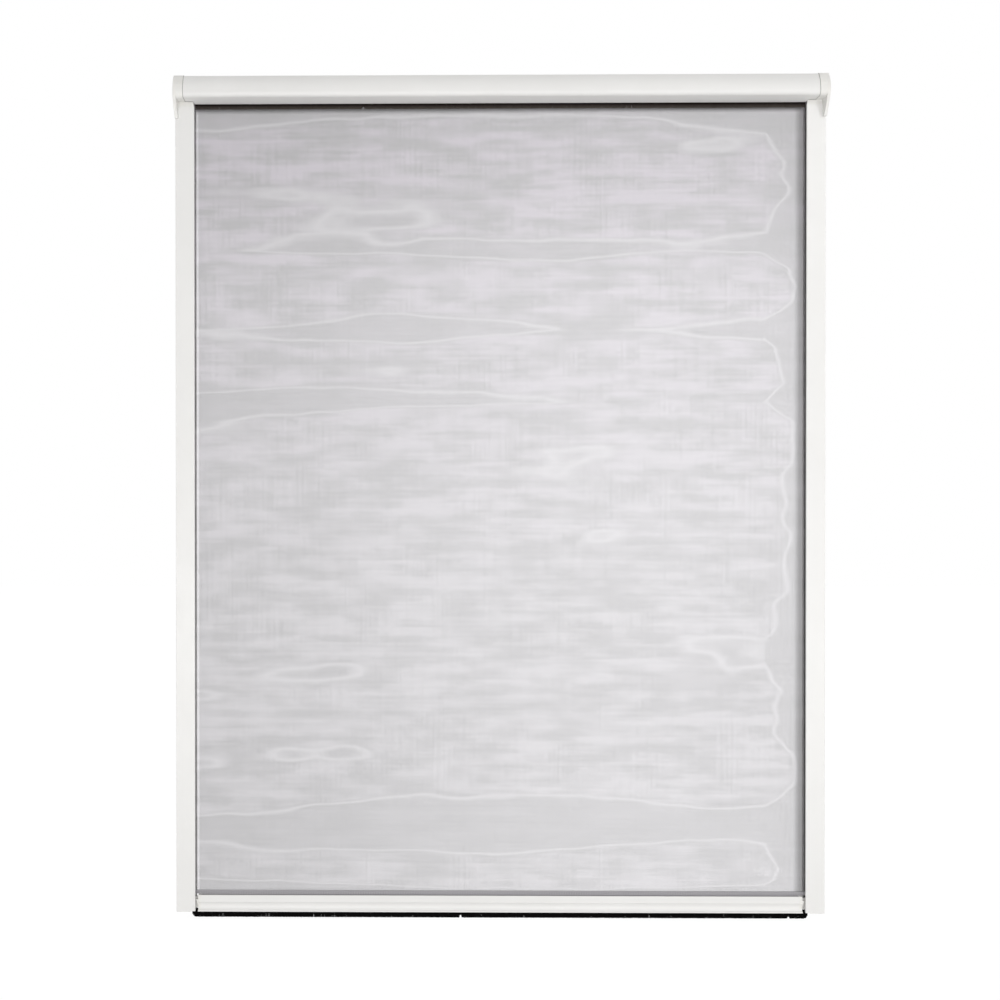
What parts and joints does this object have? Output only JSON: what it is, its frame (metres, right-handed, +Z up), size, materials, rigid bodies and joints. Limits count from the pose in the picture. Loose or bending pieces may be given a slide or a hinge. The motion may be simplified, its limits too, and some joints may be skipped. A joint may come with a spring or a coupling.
{
  "type": "roller insect screen frame",
  "caption": "White aluminium window screen frame: a head box with moulded end caps holds a sprung roller, and a pull bar draws the mesh down between brush-lined guide rails.",
  "frame": {"origin": "on the sill plane, where the tips of the bottom brush touch, at the middle of the width and of the depth", "axes": "+X to the right along the head box, +Y back into the window reveal towards the wall plane, +Z up along the guide rails"},
  "size_m": [1, 0.0468, 1.2994],
  "materials": {
    "white_profile": "white powder coat, semi-gloss, on aluminium profile",
    "white_moulding": "white moulded plastic, satin",
    "black_pile": "black woven pile strip",
    "zinc_steel": "zinc-plated steel",
    "spring_steel": "oiled spring wire",
    "bare_aluminium": "mill-finish tube",
    "screen_mesh": "grey coated glass-fibre insect mesh",
    "hem_band": "grey woven hem tape"
  },
  "bodies": {
    "frame": {"head_box": "white_profile", "end_cap_left": "white_moulding", "end_cap_right": "white_moulding", "cap_screws": "zinc_steel", "guide_rail_left": "white_profile", "guide_rail_right": "white_profile", "rail_brush_front_left": "black_pile", "rail_brush_front_right": "black_pile", "rail_brush_back_left": "black_pile", "rail_brush_back_right": "black_pile", "rail_head_left": "white_moulding", "rail_head_right": "white_moulding", "rail_plug_left": "white_moulding", "rail_plug_right": "white_moulding", "box_brush": "black_pile", "spring_shaft": "zinc_steel", "spring_anchor": "white_moulding", "torsion_spring": "spring_steel", "idler_pin": "zinc_steel", "insect_mesh": "screen_mesh"},
    "roller": {"roller_tube": "bare_aluminium", "mesh_winding": "screen_mesh", "tube_plug_left": "white_moulding", "tube_plug_right": "white_moulding", "spring_driver": "white_moulding"},
    "pull_bar": {"pull_bar": "white_profile", "bar_end_left": "white_moulding", "bar_end_right": "white_moulding", "sill_brush": "black_pile", "keder_strip": "hem_band"}
  },
  "joints": [
    {"name": "pull_bar_slide", "type": "slide", "parent": "frame", "child": "pull_bar", "axis": [0, 0, 1], "range_m": [0, 1.2145], "deforming": ["insect_mesh"]},
    {"name": "roller_spin", "type": "hinge", "parent": "frame", "child": "roller", "pos_m": [0, 0.00295, 1.2821], "axis": [1, 0, 0], "range_deg": [0, 6110]}
  ],
  "couplings": [
    {"joint": "roller_spin", "follows": "pull_bar_slide", "rad_per_m": 87.72}
  ]
}
